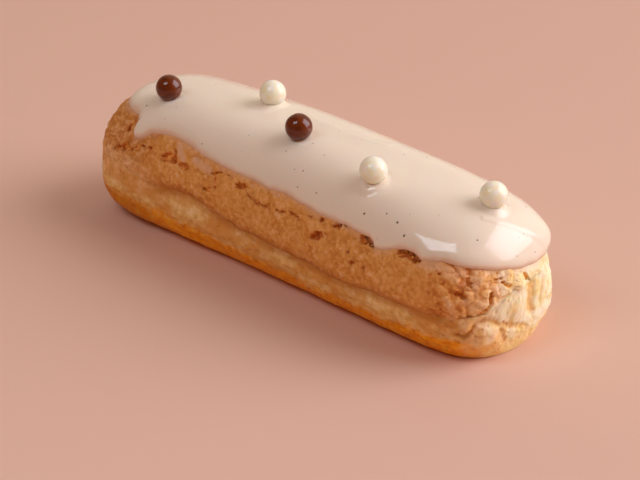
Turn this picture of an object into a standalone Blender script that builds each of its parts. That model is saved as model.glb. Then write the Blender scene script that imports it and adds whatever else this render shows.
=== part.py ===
"""A glazed eclair: a baked choux bun with a craquelin crust, a cap of set white glaze and five chocolate pearls.

Metres, +Z up. The eclair lies along X and rests on z = 0, with the origin under its middle.
"near" is the side towards -Y, "left" the end towards -X.
"""

import math

import bmesh
import bpy
import numpy as np

MM = 0.001

# The whole eclair, over its crust and glaze.
LENGTH = 130.0 * MM
WIDTH = 39.4 * MM  # at mid length; the ends are a little wider
HEIGHT = 36.5 * MM  # to the crown of the glaze, without the pearls
WIDEST_LEVEL = 12.1 * MM  # height at which the bun is widest

# How the skin curves between those sizes.
SHOULDER = 2.75  # power of the cross-section above the widest level: 2 is an ellipse, more is boxier
BELLY = 2.3  # the same below it
BASE_FLATTENING = 0.27  # how far the belly would reach below the tray, as a share of the widest level
END_BLUNTNESS = {"left": 14.0, "right": 10.3}  # power of the plan at each end
END_LEAN = {"left": 0.65, "right": 0.73}  # how far each end leans in on its way up, in half widths
BASE_LEAN = 0.41  # the same on the way down to the tray
CROWN_DROP = 0.205  # share of the upper height that is lost towards the ends
END_SPREAD = 0.095  # share by which the ends are wider than the middle

# The crust and the glaze.
CRUST_PROUD = 0.25 * MM  # the craquelin's edge stands out of the skin by this much
CHOUX_BACK = 0.25 * MM  # and the choux below that edge lies back by this much
CRUST_UNDER_RIM = 1.2 * MM  # the crust lies this far under the glaze's surface where the glaze ends
GLAZE_THICKNESS = 1.6 * MM
GAP = 0.3 * MM  # left between pieces that touch
RIM_NOSE = 0.8 * MM  # height of the glaze's rounded edge

# Where the bun has swollen or been pinched in baking: the middle of each place, its reach and how far out.
SWELLINGS = (
    ((-58 * MM, -11 * MM, 29 * MM), 8 * MM, 0.5 * MM),  # left shoulder, above the cracks
    ((-60 * MM, -13 * MM, 8 * MM), 9 * MM, 0.4 * MM),  # left heel
    ((60 * MM, 13 * MM, 24 * MM), 4 * MM, 0.7 * MM),  # glaze run down over the right tip
    ((60 * MM, 14 * MM, 17.5 * MM), 4 * MM, -2.0 * MM),  # pinch under it
    ((62 * MM, 9 * MM, 9 * MM), 7 * MM, 0.6 * MM),  # choux pushing out below that pinch
    ((46 * MM, 13 * MM, 31 * MM), 20 * MM, 0.3 * MM),  # far right shoulder
    ((-20 * MM, 19 * MM, 9 * MM), 14 * MM, 0.5 * MM),  # far side, low
    ((22 * MM, 19 * MM, 20 * MM), 12 * MM, -0.4 * MM),  # far side, under the glaze
)

# Heights every thirteenth millimetre or so round the eclair, from the left tip along the near side.
RIM_HEIGHTS = np.array([30.4, 30.0, 28.8, 28.6, 28.0, 27.1, 27.1, 26.7, 25.7, 25.0, 26.0, 24.7,
                        22.4, 20.4, 23.0, 25.4, 25.2, 26.0, 26.8, 26.3, 27.4, 28.2, 28.6, 29.6]) * MM
CRUST_HEIGHTS = np.array([15.2, 16.6, 17.7, 15.4, 17.3, 14.5, 13.7, 13.3, 12.8, 13.5, 13.4, 15.0,
                          18.4, 17.2, 14.6, 12.6, 13.5, 14.1, 13.4, 13.8, 14.6, 14.2, 15.2, 16.0]) * MM

# The chocolate pearls: where each one stands on the crown.
PEARL_RADIUS = 3.35 * MM
PEARL_SUNK = 0.55 * MM
PEARLS = {
    "dark_pearl_left": (-44.1 * MM, -7.4 * MM),
    "white_pearl_left": (-19.2 * MM, 3.5 * MM),
    "dark_pearl_middle": (-1.0 * MM, -6.0 * MM),
    "white_pearl_middle": (25.7 * MM, -8.8 * MM),
    "white_pearl_right": (52.3 * MM, 1.6 * MM),
}

# Fineness of the solids.
POINTS_ROUND = 96
BELLY_ROWS = 5
CRUST_ROWS = 5
CROWN_ROWS = 6
CROWN_STRIP = 0.12  # half width of the flat strip that closes the crown, as a share of the half width
PEARL_SEGMENTS = 20
PEARL_RINGS = 10

# Colours (linear) and roughness.
FINISHES = {
    "choux": ((0.50, 0.24, 0.10), 0.75),
    "glaze": ((0.80, 0.70, 0.56), 0.22),
    "dark": ((0.030, 0.010, 0.006), 0.18),
    "white": ((0.83, 0.74, 0.58), 0.20),
}


# --- The skin of the eclair --------------------------------------------------------------------


def by_end(ux, values):
    """The left end's value where ux is negative, and the right end's elsewhere."""
    return np.where(ux < 0, values["left"], values["right"])


def unit_plan(count):
    """Points evenly spaced round the plan's edge as shares of the half length and half width, and how far round."""
    ux = np.sin(0.5 * math.pi * np.linspace(-1, 1, 4001))
    uy = -np.sqrt(np.maximum(1 - np.abs(ux) ** by_end(ux, END_BLUNTNESS), 0))
    steps = np.hypot(np.diff(ux) * LENGTH, np.diff(uy) * WIDTH)
    along = np.concatenate([[0], np.cumsum(steps)])
    near = np.interp(np.linspace(0, along[-1], count // 2 + 1), along, np.arange(len(ux)))
    near_x = np.interp(near, np.arange(len(ux)), ux)
    near_y = np.interp(near, np.arange(len(uy)), uy)
    ux = np.concatenate([near_x, near_x[-2:0:-1]])
    uy = np.concatenate([near_y, -near_y[-2:0:-1]])
    return ux, uy, np.arange(count) / count


def skin(ux, uy, level, grow):
    """Points of the skin, moved outwards by grow.

    level is an angle: -90 degrees is the middle of the base, 0 the widest line and 90 the crown.
    The plan's edge, given by ux and uy, shrinks by a power of the angle's cosine and climbs by a
    power of its sine, so that the cross-section is a rounded box that stands on a flat base.
    """
    upper = level >= 0
    power = np.where(upper, SHOULDER, BELLY)
    spread = np.maximum(np.cos(level), 0) ** (2 / power)
    climb = np.abs(np.sin(level)) ** (2 / power)
    lean = np.where(upper, by_end(ux, END_LEAN), BASE_LEAN) * WIDTH / 2
    x = (LENGTH / 2 + grow - lean * (1 - spread)) * ux
    along = x / (LENGTH / 2)
    y = (WIDTH / 2 + grow) * spread * uy * (1 + END_SPREAD * along**2)
    crown = (HEIGHT - WIDEST_LEVEL + grow) * (1 - CROWN_DROP * along**2)
    belly = WIDEST_LEVEL * (1 + BASE_FLATTENING)
    z = WIDEST_LEVEL + np.where(upper, crown, -belly) * climb
    return np.stack([x, y, np.maximum(z, 0)], axis=-1)


def uneven_skin(ux, uy, level, grow):
    """The skin moved outwards by grow and by a soft round bump at each swelling."""
    even = skin(ux, uy, level, 0)
    for middle, reach, proud in SWELLINGS:
        away = np.sum((even - np.array(middle)) ** 2, axis=-1)
        grow = grow + proud * np.exp(-away / reach**2)
    return skin(ux, uy, level, grow)


def level_at(ux, uy, height):
    """The level at which the skin reaches a height, by halving the range between base and crown."""
    low = np.full(ux.shape, -math.pi / 2)
    high = np.full(ux.shape, math.pi / 2)
    for _ in range(40):
        middle = (low + high) / 2
        too_low = skin(ux, uy, middle, 0)[..., 2] < height
        low = np.where(too_low, middle, low)
        high = np.where(too_low, high, middle)
    return (low + high) / 2


def smooth_ring(values, places):
    """A closed smooth curve through evenly spaced values, read at places from 0 to 1."""
    step = places * len(values)
    start = np.floor(step).astype(int)
    part = step - start
    before, here, after, beyond = (values[(start + k) % len(values)] for k in (-1, 0, 1, 2))
    bend = 2 * before - 5 * here + 4 * after - beyond + part * (3 * (here - after) + beyond - before)
    return here + 0.5 * part * (after - before + part * bend)


def crown_levels(start, rows):
    """Levels from start up to the strip that closes the crown, evenly spaced across the width."""
    first = np.cos(start) ** (2 / SHOULDER)
    shares = np.linspace(0, 1, rows + 1)[1:, None]
    spread = first + (CROWN_STRIP - first) * shares
    return np.arccos(spread ** (SHOULDER / 2))


def foot_on_crown(x, y):
    """The crown's point and outward normal above a place in the plan, found by halving."""

    def point(x, y):
        low, high = 0.0, 1.0
        for _ in range(50):
            spread = (low + high) / 2
            lean = END_LEAN["left" if x < 0 else "right"] * WIDTH / 2 * (1 - spread)
            ux = x / (LENGTH / 2 - lean)
            inside = max(1 - abs(ux) ** END_BLUNTNESS["left" if x < 0 else "right"], 0)
            reach = WIDTH / 2 * spread * math.sqrt(inside) * (1 + END_SPREAD * (2 * x / LENGTH) ** 2)
            low, high = (spread, high) if reach < abs(y) else (low, spread)
        level = np.array(math.acos(spread ** (SHOULDER / 2)))
        height = uneven_skin(np.array(ux), np.array(0.0), level, 0)[2]
        return np.array([x, y, height])

    nudge = 0.05 * MM
    foot = point(x, y)
    along = point(x + nudge, y) - point(x - nudge, y)
    across = point(x, y + nudge) - point(x, y - nudge)
    normal = np.cross(along, across)
    return foot, normal / np.linalg.norm(normal)


# --- Blender helpers ---------------------------------------------------------------------------


def clear_scene():
    for obj in list(bpy.data.objects):
        bpy.data.objects.remove(obj, do_unlink=True)


def new_collection(name):
    collection = bpy.data.collections.new(name)
    bpy.context.scene.collection.children.link(collection)
    return collection


def finish(name):
    colour, roughness = FINISHES[name]
    material = bpy.data.materials.new(name)
    material.use_nodes = True
    shader = material.node_tree.nodes["Principled BSDF"]
    shader.inputs["Base Color"].default_value = (*colour, 1)
    shader.inputs["Roughness"].default_value = roughness
    return material


def link_mesh(name, mesh, collection):
    """A new smooth-shaded object in the collection, made of a bmesh that this call frees."""
    data = bpy.data.meshes.new(name)
    mesh.to_mesh(data)
    mesh.free()
    data.shade_smooth()
    data.set_sharp_from_angle(angle=math.radians(40))
    obj = bpy.data.objects.new(name, data)
    collection.objects.link(obj)
    return obj


def loft(name, rings, collection, close_start, close_end):
    """One closed surface through rings of equal count, each end closed as asked: "flat" or "strip"."""
    rings = [np.asarray(ring) for ring in rings]
    count = len(rings[0])
    mesh = bmesh.new()
    rows = [[mesh.verts.new(point) for point in ring] for ring in rings]
    for low, high in zip(rows, rows[1:]):
        for i in range(count):
            j = (i + 1) % count
            mesh.faces.new((low[i], low[j], high[j], high[i]))
    for row, how, turned in ((rows[0], close_start, True), (rows[-1], close_end, False)):
        if how == "flat":
            faces = [tuple(row)]
        else:
            half = count // 2
            faces = [(row[0], row[1], row[-1]), (row[half - 1], row[half], row[half + 1])]
            faces += [(row[i], row[i + 1], row[count - i - 1], row[count - i]) for i in range(1, half - 1)]
        for face in faces:
            mesh.faces.new(face[::-1] if turned else face)
    return link_mesh(name, mesh, collection)


def sphere(name, centre, radius, collection):
    mesh = bmesh.new()
    bmesh.ops.create_uvsphere(mesh, u_segments=PEARL_SEGMENTS, v_segments=PEARL_RINGS, radius=radius)
    obj = link_mesh(name, mesh, collection)
    obj.location = centre
    return obj


# --- The pieces --------------------------------------------------------------------------------


def make_choux(collection):
    """The bun: a flat base, a belly, the craquelin's stepped edge, the crust and the crown under the glaze."""
    ux, uy, place = unit_plan(POINTS_ROUND)
    crust_edge = level_at(ux, uy, smooth_ring(CRUST_HEIGHTS, place))
    rim_height = smooth_ring(RIM_HEIGHTS, place)
    rim = level_at(ux, uy, rim_height)
    base = -math.asin((1 / (1 + BASE_FLATTENING)) ** (BELLY / 2))
    rings = []
    for share in np.linspace(0, 1, BELLY_ROWS + 1):
        rings.append(uneven_skin(ux, uy, base + (crust_edge - base) * share, -CHOUX_BACK))
    for share in np.linspace(0, 1, CRUST_ROWS + 1):
        out = CRUST_PROUD - (CRUST_PROUD + CRUST_UNDER_RIM) * share**2
        rings.append(uneven_skin(ux, uy, crust_edge + (rim - crust_edge) * share, out))
    under_glaze = level_at(ux, uy, rim_height + RIM_NOSE)
    for level in (under_glaze, *crown_levels(under_glaze, CROWN_ROWS)):
        rings.append(uneven_skin(ux, uy, level, -GLAZE_THICKNESS - GAP))
    choux = loft("choux", rings, collection, "flat", "strip")
    choux.data.materials.append(finish("choux"))
    return choux


def make_glaze(collection, cutters):
    """The glaze: a shell over the crown with a rounded edge, and a socket for each pearl."""
    ux, uy, place = unit_plan(POINTS_ROUND)
    rim_height = smooth_ring(RIM_HEIGHTS, place)
    rim = level_at(ux, uy, rim_height)
    nose = level_at(ux, uy, rim_height + 0.15 * RIM_NOSE)
    brow = level_at(ux, uy, rim_height + RIM_NOSE)
    over_the_crown = crown_levels(brow, CROWN_ROWS)
    rings = [uneven_skin(ux, uy, level, -GLAZE_THICKNESS) for level in over_the_crown[::-1]]
    rings.append(uneven_skin(ux, uy, brow, -GLAZE_THICKNESS + 0.7 * GAP))
    rings.append(uneven_skin(ux, uy, rim, -CRUST_UNDER_RIM + 1.6 * GAP))
    rings.append(uneven_skin(ux, uy, nose, -0.25 * GLAZE_THICKNESS))
    rings += [uneven_skin(ux, uy, level, 0) for level in (brow, *over_the_crown)]
    glaze = loft("glaze", rings, collection, "strip", "strip")
    glaze.data.materials.append(finish("glaze"))
    for cutter in cutters:
        socket = glaze.modifiers.new(cutter.name, "BOOLEAN")
        socket.operation = "DIFFERENCE"
        socket.solver = "EXACT"
        socket.object = cutter
    return glaze


def make_pearls(collection, cutter_collection):
    """Five chocolate balls, each sunk a little into the glaze, and the cutters of their sockets."""
    cutters = []
    finishes = {kind: finish(kind) for kind in ("dark", "white")}
    for name, (x, y) in PEARLS.items():
        foot, normal = foot_on_crown(x, y)
        centre = foot + normal * (PEARL_RADIUS - PEARL_SUNK)
        pearl = sphere(name, centre, PEARL_RADIUS, collection)
        pearl.data.materials.append(finishes[name.split("_")[0]])
        cutter = sphere("socket_of_" + name, centre, PEARL_RADIUS + GAP, cutter_collection)
        cutter.hide_render = True
        cutter.display_type = "WIRE"
        cutters.append(cutter)
    return cutters


def main():
    clear_scene()
    parts = new_collection("glazed_eclair")
    cutter_collection = new_collection("cutters")
    cutters = make_pearls(parts, cutter_collection)
    make_choux(parts)
    make_glaze(parts, cutters)


main()
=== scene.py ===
# %% [markdown]
# # A glazed eclair with chocolate pearls
#
# A long choux bun, baked with a disc of craquelin (butter, sugar and flour) on top. The craquelin melts
# down the sides, sets into a sandy crust and stops in a small step low on the bun. The cold bun is then
# dipped upside down in white chocolate and vanilla glaze, and five chocolate pearls are set on it.
#
# Everything here is a surface worked out with numpy: one formula gives the skin of the bun, and each
# piece is a stack of rings on that skin, moved in or out along it. All lengths are in metres, with +Z up,
# +X along the eclair and the origin under its middle. "near" is the side towards -Y, "left" towards -X.

# %% Load the frame
import math

import bpy
import numpy as np
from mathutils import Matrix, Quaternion, Vector


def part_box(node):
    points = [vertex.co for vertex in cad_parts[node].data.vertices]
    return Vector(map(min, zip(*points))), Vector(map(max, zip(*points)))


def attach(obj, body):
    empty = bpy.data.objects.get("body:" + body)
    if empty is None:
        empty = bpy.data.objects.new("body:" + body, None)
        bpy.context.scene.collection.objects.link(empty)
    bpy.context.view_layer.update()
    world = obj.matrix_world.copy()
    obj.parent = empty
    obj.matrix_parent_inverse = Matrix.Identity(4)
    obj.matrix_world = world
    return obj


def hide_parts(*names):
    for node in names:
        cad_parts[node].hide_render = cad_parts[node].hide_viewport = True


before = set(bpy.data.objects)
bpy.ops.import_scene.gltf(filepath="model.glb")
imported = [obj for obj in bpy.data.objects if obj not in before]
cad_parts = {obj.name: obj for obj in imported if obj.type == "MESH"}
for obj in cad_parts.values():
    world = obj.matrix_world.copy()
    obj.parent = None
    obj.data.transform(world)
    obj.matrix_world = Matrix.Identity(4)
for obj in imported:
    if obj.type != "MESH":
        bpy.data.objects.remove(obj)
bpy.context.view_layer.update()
MM = 0.001

# %% [markdown]
# ## The skin of the bun
#
# A piped bun is a rounded bar: nearly straight sides, blunt ends that lean in as they rise, a domed top
# and a flat base where it sat on the tray. A superellipse gives both the plan and the cross-section, and
# its powers say how boxy each one is. The sizes are the solid model's own.

# %% Driving sizes of the skin
LENGTH = 130.0 * MM
WIDTH = 39.4 * MM
HEIGHT = 36.5 * MM
WIDEST_LEVEL = 12.1 * MM
SHOULDER = 2.75
BELLY = 2.3
BASE_FLATTENING = 0.27
END_BLUNTNESS = {"left": 14.0, "right": 10.3}
END_LEAN = {"left": 0.65, "right": 0.73}
BASE_LEAN = 0.41
CROWN_DROP = 0.205
END_SPREAD = 0.095

# Places where the bun has swollen or been pinched: the middle, the reach and how far out.
SWELLINGS = (
    ((-58 * MM, -11 * MM, 29 * MM), 8 * MM, 0.5 * MM),
    ((-60 * MM, -13 * MM, 8 * MM), 9 * MM, 0.4 * MM),
    ((60 * MM, 13 * MM, 24 * MM), 4 * MM, 0.7 * MM),
    ((60 * MM, 14 * MM, 17.5 * MM), 4 * MM, -2.0 * MM),
    ((62 * MM, 9 * MM, 9 * MM), 7 * MM, 0.6 * MM),
    ((46 * MM, 13 * MM, 31 * MM), 20 * MM, 0.3 * MM),
    ((-20 * MM, 19 * MM, 9 * MM), 14 * MM, 0.5 * MM),
    ((22 * MM, 19 * MM, 20 * MM), 12 * MM, -0.4 * MM),
)

# Heights every thirteenth millimetre or so round the eclair, from the left tip along the near side.
RIM_HEIGHTS = np.array([30.4, 30.0, 28.8, 28.6, 28.0, 27.1, 27.1, 26.7, 25.7, 25.0, 26.0, 24.7,
                        22.4, 20.4, 23.0, 25.4, 25.2, 26.0, 26.8, 26.3, 27.4, 28.2, 28.6, 29.6]) * MM
CRUST_HEIGHTS = np.array([15.2, 16.6, 17.7, 15.4, 16.7, 13.9, 12.8, 12.2, 11.3, 12.7, 12.5, 13.6,
                          18.4, 17.2, 14.6, 12.6, 13.5, 14.1, 13.4, 13.8, 14.6, 14.2, 15.2, 16.0]) * MM


# %% The skin's formula
def by_end(ux, values):
    """The left end's value where ux is negative, and the right end's elsewhere."""
    return np.where(ux < 0, values["left"], values["right"])


def smooth_step(low, high, value):
    """0 below low, 1 above high, and an S-shaped cubic between them."""
    share = np.clip((value - low) / (high - low), 0, 1)
    return share * share * (3 - 2 * share)


def skin(ux, uy, level, grow):
    """Points of the skin, moved outwards by grow.

    level is an angle: -90 degrees is the middle of the base, 0 the widest line and 90 the crown. The
    plan's edge (ux, uy) shrinks by a power of the angle's cosine and climbs by a power of its sine.
    """
    upper = level >= 0
    power = np.where(upper, SHOULDER, BELLY)
    spread = np.maximum(np.cos(level), 0) ** (2 / power)
    climb = np.abs(np.sin(level)) ** (2 / power)
    lean = np.where(upper, by_end(ux, END_LEAN), BASE_LEAN) * WIDTH / 2
    x = (LENGTH / 2 + grow - lean * (1 - spread)) * ux
    along = x / (LENGTH / 2)
    y = (WIDTH / 2 + grow) * spread * uy * (1 + END_SPREAD * along**2)
    crown = (HEIGHT - WIDEST_LEVEL + grow) * (1 - CROWN_DROP * along**2)
    belly = WIDEST_LEVEL * (1 + BASE_FLATTENING)
    z = WIDEST_LEVEL + np.where(upper, crown, -belly) * climb
    return np.stack([x, y, np.maximum(z, 0)], axis=-1)


def uneven_skin(ux, uy, level, grow):
    """The skin moved outwards by grow and by a soft round bump at each swelling."""
    even = skin(ux, uy, level, 0)
    for middle, reach, proud in SWELLINGS:
        away = np.sum((even - np.array(middle)) ** 2, axis=-1)
        grow = grow + proud * np.exp(-away / reach**2)
    return skin(ux, uy, level, grow)


def level_at(ux, uy, height):
    """The level at which the skin reaches a height, by halving the range between base and crown."""
    low = np.full(np.shape(ux), -math.pi / 2)
    high = np.full(np.shape(ux), math.pi / 2)
    for _ in range(30):
        middle = (low + high) / 2
        too_low = skin(ux, uy, middle, 0)[..., 2] < height
        low = np.where(too_low, middle, low)
        high = np.where(too_low, high, middle)
    return (low + high) / 2


def smooth_ring(values, places):
    """A closed smooth curve through evenly spaced values, read at places from 0 to 1."""
    step = places * len(values)
    start = np.floor(step).astype(int)
    part = step - start
    before, here, after, beyond = (values[(start + k) % len(values)] for k in (-1, 0, 1, 2))
    bend = 2 * before - 5 * here + 4 * after - beyond + part * (3 * (here - after) + beyond - before)
    return here + 0.5 * part * (after - before + part * bend)


# %% [markdown]
# ## Travelling round the bun
#
# Crumbs, cracks and drips are placed by how far round the bun they are and how high up. `GIRTH` is the
# distance once round the plan, and `travel` counts from the left tip along the near side: the right tip
# is half way. A fine table of the plan's edge turns a travel back into a place.

# %% Distances round the plan
FINE = np.sin(0.5 * math.pi * np.linspace(-1, 1, 4001))
FINE_Y = -np.sqrt(np.maximum(1 - np.abs(FINE) ** by_end(FINE, END_BLUNTNESS), 0))
FINE_TRAVEL = np.concatenate([[0], np.cumsum(np.hypot(np.diff(FINE) * LENGTH / 2, np.diff(FINE_Y) * WIDTH / 2))])
GIRTH = 2 * FINE_TRAVEL[-1]


def plan_at(travel):
    """The plan's edge at a distance round the bun, as shares of the half length and half width."""
    travel = np.mod(travel, GIRTH)
    near = travel <= GIRTH / 2
    folded = np.where(near, travel, GIRTH - travel)
    ux = np.interp(folded, FINE_TRAVEL, FINE)
    uy = np.interp(folded, FINE_TRAVEL, FINE_Y)
    return ux, np.where(near, uy, -uy)


def spot(travel, height):
    """The point of the skin at a distance round the bun and a height, both in millimetres."""
    ux, uy = plan_at(np.array(travel * MM))
    return uneven_skin(ux, uy, level_at(ux, uy, height * MM), 0.0)


print("once round the bun:", round(GIRTH / MM, 1), "mm")

# %% [markdown]
# ## Unevenness
#
# Baked things are uneven at every size. Two kinds of noise make that here, both read at points in space,
# so that they have no seam and pieces that touch agree with each other. `bumps` is gradient noise: a
# random slope at each corner of a cubic grid, blended inside each cube. `cells` scatters one seed in each
# cube and measures the distance to the nearest seeds, which gives grains, lumps and the lines between.

# %% Noise
RANDOM_TABLE = np.random.default_rng(7).normal(size=(4096, 3))
RANDOM_TABLE /= np.linalg.norm(RANDOM_TABLE, axis=1, keepdims=True)


def scramble(corner, seed):
    """A table row for each corner of the grid, from its whole-number coordinates mixed together."""
    mixed = corner[..., 0] * 73856093 ^ corner[..., 1] * 19349663 ^ corner[..., 2] * 83492791 ^ seed * 2654435
    mixed = (mixed ^ (mixed >> 13)) * 1274126177
    return (mixed ^ (mixed >> 16)) & 4095


def bumps(points, size, seed):
    """Smooth random bumps about size across, from about -1 to 1."""
    place = points / size
    corner = np.floor(place).astype(np.int64)
    part = place - corner
    ease = part**3 * (part * (part * 6 - 15) + 10)
    total = np.zeros(points.shape[:-1])
    for offset in np.ndindex(2, 2, 2):
        offset = np.array(offset)
        slope = RANDOM_TABLE[scramble(corner + offset, seed)]
        height = np.sum(slope * (part - offset), axis=-1)
        weight = np.prod(np.where(offset == 1, ease, 1 - ease), axis=-1)
        total += height * weight
    return 1.5 * total


def cells(points, size, seed):
    """Distance to the nearest and second nearest of scattered seeds, in cell sizes, and the nearest's number."""
    place = points / size
    home = np.floor(place).astype(np.int64)
    first = np.full(points.shape[:-1], 9.0)
    second = first.copy()
    number = np.zeros(points.shape[:-1])
    for offset in np.ndindex(3, 3, 3):
        cube = home + np.array(offset) - 1
        row = scramble(cube, seed)
        away = np.linalg.norm(cube + 0.5 + 0.45 * RANDOM_TABLE[row] - place, axis=-1)
        nearer = away < first
        second = np.where(nearer, first, np.minimum(second, away))
        number = np.where(nearer, row, number)
        first = np.minimum(first, away)
    return first, second, number / 4096


def folds(points, size, seed):
    """Rounded lumps with sharp valleys between them, 0 in a valley: the size of smooth bumps, rounded off."""
    return np.abs(bumps(points, size, seed)) ** 0.7


def popcorn(points):
    """Rounded lumps of three sizes with sharp valleys, in millimetres, as where a crust has burst."""
    warped = points + 0.9 * MM * np.stack([bumps(points, 3 * MM, seed) for seed in (46, 47, 48)], axis=-1)
    sizes = ((1.00, 5.0, 49), (0.44, 2.4, 50), (0.20, 1.2, 54))
    return sum(rise * folds(warped, size * MM, seed) for rise, size, seed in sizes) - 0.7


def closeness(points, path, reach, core=0.3):
    """How near points are to a path: 1 within core shares of the reach, 0 beyond it, smooth between."""
    nearest = np.full(points.shape[:-1], np.inf)
    for start, end in zip(path, path[1:]):
        run = end - start
        share = np.clip(np.sum((points - start) * run, axis=-1) / max(run @ run, 1e-12), 0, 1)
        nearest = np.minimum(nearest, np.linalg.norm(points - start - share[..., None] * run, axis=-1))
    return 1 - smooth_step(core, 1.0, nearest / reach)


# %% Building a closed mesh from rings
def solid_from_rings(name, rings, masks=None):
    """One closed smooth mesh through rings of equal count, given as (rows, columns, 3).

    Each ring's first point is the left tip and its middle point the right tip, so a ring closes with
    strips that join its near side to its far side. masks are named values, one for each point.
    """
    rows, columns = rings.shape[:2]
    index = np.arange(rows * columns).reshape(rows, columns)
    after = np.roll(index, -1, axis=1)
    walls = np.stack([index[:-1], after[:-1], after[1:], index[1:]], axis=-1).reshape(-1, 4)
    half = columns // 2
    near = np.arange(1, half - 1)
    strips, tips = [], []
    for ring, turned in ((index[0], True), (index[-1], False)):
        strip = np.stack([ring[near], ring[near + 1], ring[columns - near - 1], ring[columns - near]], axis=-1)
        tip = np.array([[ring[0], ring[1], ring[-1]], [ring[half - 1], ring[half], ring[half + 1]]])
        strips.append(strip[:, ::-1] if turned else strip)
        tips.append(tip[:, ::-1] if turned else tip)
    quads = np.concatenate([walls, *strips])
    tips = np.concatenate(tips)
    sizes = np.concatenate([np.full(len(quads), 4), np.full(len(tips), 3)])
    corners = np.concatenate([quads.ravel(), tips.ravel()])
    return mesh_piece(name, rings.reshape(-1, 3), corners, sizes, masks)


def mesh_piece(name, points, corners, sizes, masks=None):
    """A smooth-shaded object made of points, the faces' corners in order, and how many each face has."""
    mesh = bpy.data.meshes.new(name)
    mesh.vertices.add(len(points))
    mesh.vertices.foreach_set("co", np.asarray(points, np.float32).ravel())
    mesh.loops.add(len(corners))
    mesh.loops.foreach_set("vertex_index", np.asarray(corners, np.int32))
    mesh.polygons.add(len(sizes))
    starts = np.concatenate([[0], np.cumsum(sizes)[:-1]])
    mesh.polygons.foreach_set("loop_start", starts.astype(np.int32))
    mesh.polygons.foreach_set("loop_total", np.asarray(sizes, np.int32))
    mesh.polygons.foreach_set("use_smooth", np.ones(len(sizes), bool))
    for mask, values in (masks or {}).items():
        layer = mesh.attributes.new(mask, "FLOAT", "POINT")
        layer.data.foreach_set("value", np.asarray(values, np.float32).ravel())
    mesh.update(calc_edges=True)
    mesh.validate()
    piece = bpy.data.objects.new(name, mesh)
    bpy.context.scene.collection.objects.link(piece)
    print(name, "-", int(np.sum(np.asarray(sizes) - 2)), "triangles")
    return piece


def outward(rings):
    """Unit normals of a grid of rings, from the cross product of its steps round and up."""
    around = np.roll(rings, -1, axis=1) - np.roll(rings, 1, axis=1)
    up = np.gradient(rings, axis=0)
    normal = np.cross(around, up)
    return normal / np.maximum(np.linalg.norm(normal, axis=-1, keepdims=True), 1e-12)


# %% [markdown]
# ## The crust
#
# Craquelin is rolled thin, frozen and laid on the piped choux. In the oven the choux swells under it, so
# the sugary disc stretches, tears into pits and cracks, and breaks into lumps where the bun bulged most,
# here at the right end. The crust is a cap of rings from a rounded lower lip up to the crown. Pits and
# cracks are named places; grain, swells and lumps come from noise.

# %% Where the crust is torn: millimetres round the bun and millimetres high
PITS = (  # (places, reach, depth) in millimetres
    (((42.4, 23.8), (43.9, 24.6), (45.9, 24.2)), 1.25, 1.3),
    (((44.9, 26.3), (45.9, 24.6)), 0.55, 0.7),
    (((48.4, 23.6), (50.3, 23.8)), 1.0, 0.9),
    (((27.7, 21.9), (28.7, 23.2), (30.2, 22.6)), 0.9, 1.2),
    (((57.3, 20.2), (59.2, 20.7)), 0.7, 0.7),
    (((67.6, 24.2), (69.4, 25.0)), 1.0, 1.0),
    (((81.6, 22.4), (83.8, 23.0)), 0.5, 0.6),
    (((86.1, 23.2), (88.8, 22.8)), 0.6, 0.8),
    (((90.3, 26.3), (90.5, 26.1)), 0.6, 0.7),
    (((95.0, 24.5), (95.6, 25.0)), 0.85, 1.0),
    (((91.6, 24.3), (92.2, 24.5)), 0.5, 0.5),
    (((100.1, 24.5), (101.6, 25.6)), 1.0, 1.2),
    (((93.6, 19.8), (94.6, 20.4), (95.9, 21.2)), 1.05, 1.4),
    (((105.1, 20.1), (105.3, 20.1)), 0.5, 0.7),
    (((105.9, 17.7), (107.2, 18.3)), 0.65, 0.8),
    (((97.9, 21.9), (99.1, 21.1)), 0.6, 0.5),
    (((109.2, 24.6), (110.4, 25.4), (111.9, 24.4)), 1.45, 1.5),
    (((120.7, 25.3), (122.9, 25.8), (125.5, 25.0)), 1.5, 1.5),
    (((133.4, 26.2), (136.1, 25.9)), 0.65, 0.9),
    (((141.7, 24.8), (144.0, 24.6)), 1.0, 1.2),
    (((152.2, 21.9), (152.4, 21.8)), 0.6, 1.0),
    (((139.4, 23.2), (140.1, 21.2)), 0.75, 1.1),
    (((133.2, 21.5), (133.4, 21.4)), 0.6, 0.7),
    (((129.6, 18.6), (130.0, 18.6)), 0.6, 0.7),
    (((137.0, 19.6), (138.4, 19.0)), 0.8, 0.9),
    (((131.7, 23.8), (132.7, 24.8)), 0.6, 0.7),
    (((192.0, 20.0), (193.6, 21.2)), 0.9, 1.1),
    (((207.5, 23.6), (209.6, 23.1), (210.8, 24.0)), 0.9, 1.1),
    (((224.3, 19.2), (224.8, 19.4)), 0.8, 0.9),
    (((238.0, 24.6), (240.9, 24.9)), 0.8, 1.0),
    (((259.0, 21.5), (260.8, 22.6)), 1.1, 1.3),
    (((276.2, 25.2), (277.5, 24.4)), 0.8, 1.0),
)
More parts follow.
